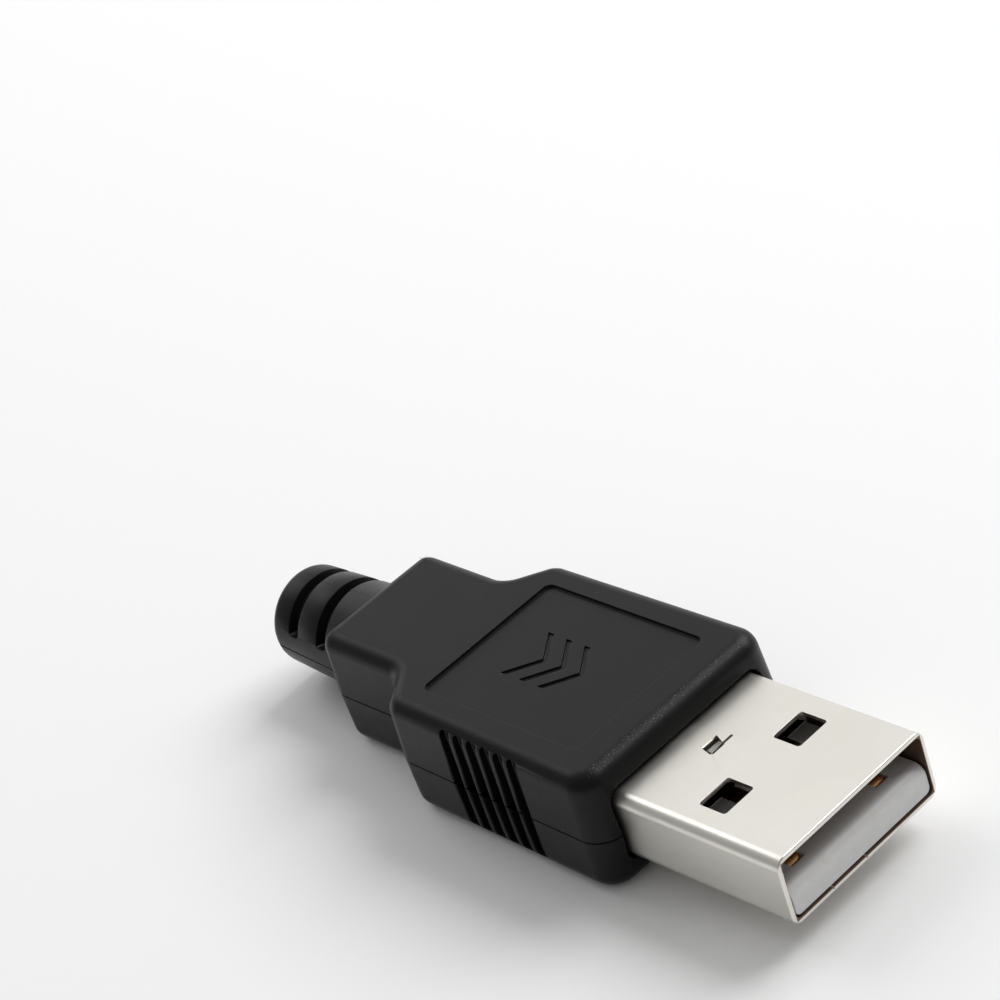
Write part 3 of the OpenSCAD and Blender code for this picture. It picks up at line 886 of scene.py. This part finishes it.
def shell_piece(finish):
    """Folded shell: bent corners, latch holes, lance, side windows and joint, with the strap and crimp."""
    tube_end = MOUTH - TUBE_L
    h = SHELL_H / 2
    obj = slab("metal_shell_folded", (tube_end, -SHELL_W / 2, AXIS - h), (MOUTH, SHELL_W / 2, AXIS + h))
    with shaping(obj):
        edges(lambda a, b: abs(a.x - b.x) > TINY)
        bevel_edges(BEND_R, 10)
        faces(lambda c, n: abs(n.x) > 0.9)
        bpy.ops.mesh.delete(type="FACE")
    apply_modifier(obj, "SOLIDIFY", thickness=SHEET, offset=-1, use_even_offset=True)
    for side in (-1, 1):
        hole = slab("hole", (MOUTH - HOLE_X - HOLE_L, side * HOLE_Y - HOLE_W / 2, BASE - 1),
                    (MOUTH - HOLE_X, side * HOLE_Y + HOLE_W / 2, TOP))
        with shaping(hole):
            edges(lambda a, b: abs(a.z - b.z) > TINY)
            bevel_edges(HOLE_R, 5)
        combine(obj, hole, "DIFFERENCE")
    combine(obj, slab("windows", (tube_end + WINDOW, -WINDOW_REACH, SPLIT - WINDOW / 2),
                      (tube_end + 2 * WINDOW, WINDOW_REACH, SPLIT + WINDOW / 2)), "DIFFERENCE")
    combine(obj, plate("lance_hole", LANCE_HOLE, AXIS + h - 2 * SHEET, AXIS + h + 1), "DIFFERENCE")
    back, wide, near, far = LANCE_SLIT
    combine(obj, slab("lance_slit", (MOUTH - back - wide, near, AXIS + h - 2 * SHEET),
                      (MOUTH - back, far, AXIS + h + 1)), "DIFFERENCE")
    combine(obj, joint_cutter(), "DIFFERENCE")
    for y in NOTCH_PLACES:
        notch = slab("rim_notch", (MOUTH - NOTCH_L, y - NOTCH_W / 2, AXIS - h + NOTCH_SKIN),
                     (MOUTH + 1, y + NOTCH_W / 2, AXIS - h + 2 * SHEET))
        combine(obj, notch, "DIFFERENCE")
    with shaping(obj):
        edges(lambda a, b: min(a.x, b.x) > MOUTH - TINY and on_outer_skin(a) and on_outer_skin(b))
        bevel_edges(RIM_R, 3)
    combine(obj, lance_tab(), "UNION")
    strap = slab("strap", (tube_end - STRAP_L, -STRAP_W / 2, AXIS - h),
                 (tube_end + SHEET, STRAP_W / 2, AXIS - h + SHEET))
    combine(obj, strap, "UNION")
    combine(obj, crimp_piece(tube_end - CRIMP_X), "UNION")
    soften(obj, 0.035)
    return finished(obj, "metal_shell", finish)


def crimp_piece(x):
    """Open U that holds the cord behind the strap."""
    h = SHELL_H / 2
    obj = slab("crimp", (x - CRIMP_L, -CRIMP_W / 2, AXIS - h), (x, CRIMP_W / 2, AXIS + CRIMP_WING))
    with shaping(obj):
        edges(lambda a, b: abs(a.x - b.x) > TINY and max(a.z, b.z) < AXIS)
        bevel_edges(CRIMP_R, 8)
        faces(lambda c, n: abs(n.x) > 0.9 or n.z > 0.9)
        bpy.ops.mesh.delete(type="FACE")
    apply_modifier(obj, "SOLIDIFY", thickness=SHEET, offset=-1, use_even_offset=True)
    return obj


# ---- Insulator and contacts ----

def contact_channels(y, tip):
    """Room for one contact: its channel, the deeper end under its tip and the open top in the block."""
    low = AXIS - CONTACT_T
    half = CONTACT_W / 2 + CHANNEL_FIT
    near, far = y - half, y + half
    front = MOUTH - tip + 0.3
    return [
        slab("channel", (BLOCK_LOW.x - 1, near, low), (front, far, AXIS + 0.001)),
        slab("channel_end", (front - 1.1, near, low - 0.3), (front, far, AXIS + 0.5)),
        slab("channel_top", (MOUTH - BLOCK_X, near, low), (front, far, AXIS + 1.5)),
    ]


def insulator_piece(finish):
    """White moulding: a block inside the cover and the tongue that carries the contacts."""
    w, h = SHELL_W / 2 - SHEET, SHELL_H / 2 - SHEET
    block_end = MOUTH - BLOCK_X
    obj = rounded_pocket("insulator_moulding", (BLOCK_LOW.x, -w, AXIS - h), (block_end, w, AXIS + h),
                         BEND_R - SHEET)
    tongue = slab("tongue", (block_end - 1, TONGUE_GAP - w, AXIS - h + TONGUE_GAP),
                  (MOUTH - TONGUE_X, w - TONGUE_GAP, AXIS))
    with shaping(tongue):
        edges(lambda a, b: abs(a.x - b.x) > TINY and max(a.z, b.z) < AXIS - TINY)
        bevel_edges(BEND_R - SHEET, 6)
        edges(lambda a, b: min(a.x, b.x) > MOUTH - TONGUE_X - TINY and min(a.z, b.z) > AXIS - TINY)
        bevel_edges(TONGUE_R, 10)
    combine(obj, tongue, "UNION")
    back = LANCE_HOLE[0][0]
    near, far = LANCE_ROOM_Y
    room = slab("lance_room", (MOUTH - back - LANCE_ROOM_L, near, AXIS + LANCE_ROOM_Z),
                (MOUTH - back + 0.15, far, AXIS + h + 1))
    combine(obj, room, "DIFFERENCE")
    for y, tip in ((-OUTER_Y, OUTER_TIP), (-INNER_Y, INNER_TIP), (INNER_Y, INNER_TIP),
                   (OUTER_Y, OUTER_TIP)):
        for part in contact_channels(y, tip):
            combine(obj, part, "DIFFERENCE")
    soften(obj, 0.07, 3)
    return finished(obj, "insulator", finish)


def contact_piece(name, y, tip, finish):
    """Stamped strip whose nose curves down into the tongue, with a solder cup behind the block."""
    front = MOUTH - tip
    back = MOUTH - TUBE_L - CONTACT_W
    bpy.ops.object.select_all(action="DESELECT")
    bpy.ops.mesh.primitive_plane_add(size=1, location=((front - 0.5 + back) / 2, y, AXIS - CONTACT_T / 2))
    obj = baked(name, (front - 0.5 - back, CONTACT_W, 1))
    with shaping(obj):
        edges(lambda a, b: min(a.x, b.x) > front - 0.6)
        for i in range(6):
            angle = math.radians(10 * (i + 1))
            extrude((0.1 * math.cos(angle), 0, -0.1 * math.sin(angle)))
    apply_modifier(obj, "SOLIDIFY", thickness=CONTACT_T, offset=0)
    cup = slab("cup", (back - 2, y - CONTACT_W / 2, AXIS - CONTACT_W / 2),
               (back + 0.5, y + CONTACT_W / 2, AXIS))
    with shaping(cup):
        edges(lambda a, b: abs(a.x - b.x) > TINY and max(a.z, b.z) < AXIS - TINY)
        bevel_edges(CONTACT_W / 2 - 0.01, 8)
        faces(lambda c, n: abs(n.x) > 0.9 or n.z > 0.9)
        bpy.ops.mesh.delete(type="FACE")
    apply_modifier(cup, "SOLIDIFY", thickness=CONTACT_T / 2, offset=-1)
    combine(obj, cup, "UNION")
    soften(obj, 0.03)
    return finished(obj, name.replace("_strip", ""), finish)


# ---- Plug ----

add_camera()
add_studio()
add_floor()

PLASTIC, PLATED, WHITE, GOLD = cover_plastic(), plated_sheet(), white_plastic(), contact_metal()

cover_half("upper_cover_moulding", True, PLASTIC)
cover_half("lower_cover_moulding", False, PLASTIC)
shell_piece(PLATED)
insulator_piece(WHITE)
contact_piece("power_contact_strip", -OUTER_Y, OUTER_TIP, GOLD)
contact_piece("data_minus_contact_strip", -INNER_Y, INNER_TIP, GOLD)
contact_piece("data_plus_contact_strip", INNER_Y, INNER_TIP, GOLD)
contact_piece("ground_contact_strip", OUTER_Y, OUTER_TIP, GOLD)
